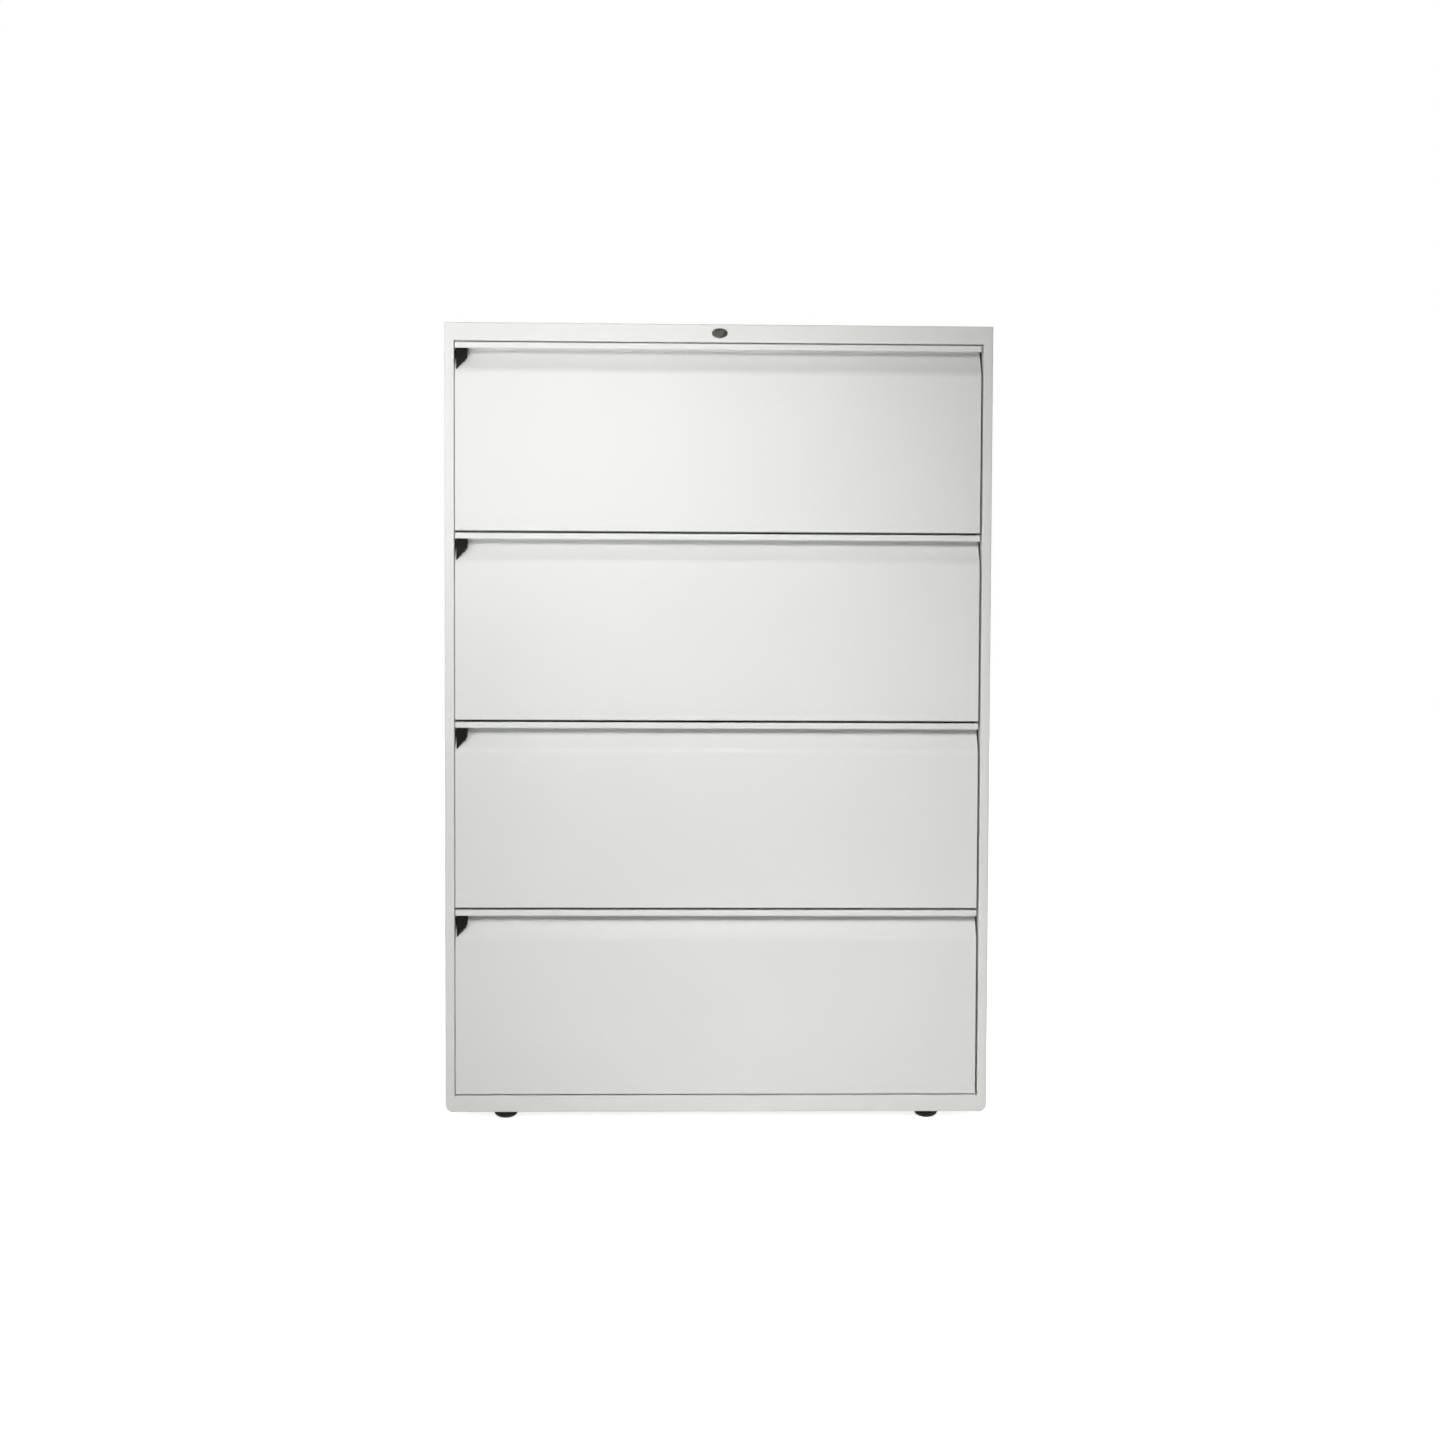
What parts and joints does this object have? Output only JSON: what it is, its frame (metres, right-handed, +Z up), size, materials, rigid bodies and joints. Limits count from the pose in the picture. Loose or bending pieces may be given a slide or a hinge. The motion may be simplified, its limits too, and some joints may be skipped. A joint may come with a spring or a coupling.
{
  "type": "lateral filing cabinet",
  "caption": "Wide free-standing steel storage cabinet with full-width flush drawers on telescopic slides, a rail lock and levelling glides.",
  "frame": {"origin": "on the floor under the middle of the cabinet's overall box", "axes": "+Z up, -Y out of the drawer fronts, +X to the right when facing the drawers"},
  "size_m": [0.914, 0.459, 1.334],
  "materials": {
    "case_paint": "satin powder coat, light silver grey",
    "drawer_paint": "satin powder coat, light silver grey",
    "zinc_steel": "bright zinc plate",
    "bare_steel": "hot-rolled plate, oiled",
    "lock_nickel": "dark satin nickel plate",
    "latch_moulding": "moulded black, fine satin",
    "glide_moulding": "moulded black nylon"
  },
  "bodies": {
    "case": {"left_side_panel": "case_paint", "right_side_panel": "case_paint", "top_panel": "case_paint", "back_panel": "case_paint", "base_pan": "case_paint", "front_posts": "zinc_steel", "rear_posts": "zinc_steel", "counterweight": "bare_steel", "glide_nuts": "zinc_steel", "lock_escutcheon": "lock_nickel", "lock_barrel": "zinc_steel", "crank_bracket": "zinc_steel", "lock_bar_guides": "zinc_steel", "slide_outer_members_1": "zinc_steel", "slide_outer_members_2": "zinc_steel", "slide_outer_members_3": "zinc_steel", "slide_outer_members_4": "zinc_steel"},
    "drawer_1": {"drawer_front_1": "drawer_paint", "drawer_body_1": "drawer_paint", "hanging_rails_1": "zinc_steel", "slide_inner_members_1": "zinc_steel"},
    "slide_middle_1": {"slide_middle_members_1": "zinc_steel"},
    "latch_1": {"drawer_latch_1": "latch_moulding"},
    "drawer_2": {"drawer_front_2": "drawer_paint", "drawer_body_2": "drawer_paint", "hanging_rails_2": "zinc_steel", "slide_inner_members_2": "zinc_steel"},
    "slide_middle_2": {"slide_middle_members_2": "zinc_steel"},
    "latch_2": {"drawer_latch_2": "latch_moulding"},
    "drawer_3": {"drawer_front_3": "drawer_paint", "drawer_body_3": "drawer_paint", "hanging_rails_3": "zinc_steel", "slide_inner_members_3": "zinc_steel"},
    "slide_middle_3": {"slide_middle_members_3": "zinc_steel"},
    "latch_3": {"drawer_latch_3": "latch_moulding"},
    "drawer_4": {"drawer_front_4": "drawer_paint", "drawer_body_4": "drawer_paint", "hanging_rails_4": "zinc_steel", "slide_inner_members_4": "zinc_steel"},
    "slide_middle_4": {"slide_middle_members_4": "zinc_steel"},
    "latch_4": {"drawer_latch_4": "latch_moulding"},
    "glide_front_left": {"levelling_glide_front_left": "glide_moulding"},
    "glide_front_right": {"levelling_glide_front_right": "glide_moulding"},
    "glide_rear_left": {"levelling_glide_rear_left": "glide_moulding"},
    "glide_rear_right": {"levelling_glide_rear_right": "glide_moulding"},
    "lock_plug": {"lock_plug": "lock_nickel", "lock_cam": "zinc_steel"},
    "lock_link": {"lock_link": "zinc_steel"},
    "lock_crank": {"lock_crank": "zinc_steel"},
    "lock_bar": {"lock_bar": "zinc_steel"}
  },
  "joints": [
    {"name": "drawer_1_slide", "type": "slide", "parent": "case", "child": "drawer_1", "axis": [0, -1, 0], "range_m": [0, 0.385]},
    {"name": "slide_middle_1_slide", "type": "slide", "parent": "case", "child": "slide_middle_1", "axis": [0, -1, 0], "range_m": [0, 0.1925]},
    {"name": "latch_1_slide", "type": "slide", "parent": "drawer_1", "child": "latch_1", "axis": [-1, 0, 0], "range_m": [0, 0.003]},
    {"name": "drawer_2_slide", "type": "slide", "parent": "case", "child": "drawer_2", "axis": [0, -1, 0], "range_m": [0, 0.385]},
    {"name": "slide_middle_2_slide", "type": "slide", "parent": "case", "child": "slide_middle_2", "axis": [0, -1, 0], "range_m": [0, 0.1925]},
    {"name": "latch_2_slide", "type": "slide", "parent": "drawer_2", "child": "latch_2", "axis": [-1, 0, 0], "range_m": [0, 0.003]},
    {"name": "drawer_3_slide", "type": "slide", "parent": "case", "child": "drawer_3", "axis": [0, -1, 0], "range_m": [0, 0.385]},
    {"name": "slide_middle_3_slide", "type": "slide", "parent": "case", "child": "slide_middle_3", "axis": [0, -1, 0], "range_m": [0, 0.1925]},
    {"name": "latch_3_slide", "type": "slide", "parent": "drawer_3", "child": "latch_3", "axis": [-1, 0, 0], "range_m": [0, 0.003]},
    {"name": "drawer_4_slide", "type": "slide", "parent": "case", "child": "drawer_4", "axis": [0, -1, 0], "range_m": [0, 0.385]},
    {"name": "slide_middle_4_slide", "type": "slide", "parent": "case", "child": "slide_middle_4", "axis": [0, -1, 0], "range_m": [0, 0.1925]},
    {"name": "latch_4_slide", "type": "slide", "parent": "drawer_4", "child": "latch_4", "axis": [-1, 0, 0], "range_m": [0, 0.003]},
    {"name": "glide_front_left_turn", "type": "hinge", "parent": "case", "child": "glide_front_left", "pos_m": [-0.357, -0.2055, 0.013], "axis": [0, 0, 1], "continuous": true},
    {"name": "glide_front_right_turn", "type": "hinge", "parent": "case", "child": "glide_front_right", "pos_m": [0.357, -0.2055, 0.013], "axis": [0, 0, 1], "continuous": true},
    {"name": "glide_rear_left_turn", "type": "hinge", "parent": "case", "child": "glide_rear_left", "pos_m": [-0.357, 0.2075, 0.013], "axis": [0, 0, 1], "continuous": true},
    {"name": "glide_rear_right_turn", "type": "hinge", "parent": "case", "child": "glide_rear_right", "pos_m": [0.357, 0.2075, 0.013], "axis": [0, 0, 1], "continuous": true},
    {"name": "lock_turn", "type": "hinge", "parent": "case", "child": "lock_plug", "pos_m": [0, -0.2275, 1.319], "axis": [0, -1, 0], "range_deg": [0, 90]},
    {"name": "lock_link_slide", "type": "slide", "parent": "case", "child": "lock_link", "axis": [-1, 0, 0], "range_m": [0, 0.01273]},
    {"name": "lock_crank_turn", "type": "hinge", "parent": "case", "child": "lock_crank", "pos_m": [-0.436, -0.1955, 1.317], "axis": [0, -1, 0], "range_deg": [0, 70.7]},
    {"name": "lock_bar_slide", "type": "slide", "parent": "case", "child": "lock_bar", "axis": [0, 0, -1], "range_m": [0, 0.01273]}
  ],
  "couplings": [
    {"joint": "slide_middle_1_slide", "follows": "drawer_1_slide", "ratio": 0.5},
    {"joint": "slide_middle_2_slide", "follows": "drawer_2_slide", "ratio": 0.5},
    {"joint": "slide_middle_3_slide", "follows": "drawer_3_slide", "ratio": 0.5},
    {"joint": "slide_middle_4_slide", "follows": "drawer_4_slide", "ratio": 0.5},
    {"joint": "lock_link_slide", "follows": "lock_bar_slide", "ratio": 1},
    {"joint": "lock_crank_turn", "follows": "lock_bar_slide", "rad_per_m": 96.943},
    {"joint": "lock_turn", "follows": "lock_bar_slide", "rad_per_m": 123.41}
  ]
}
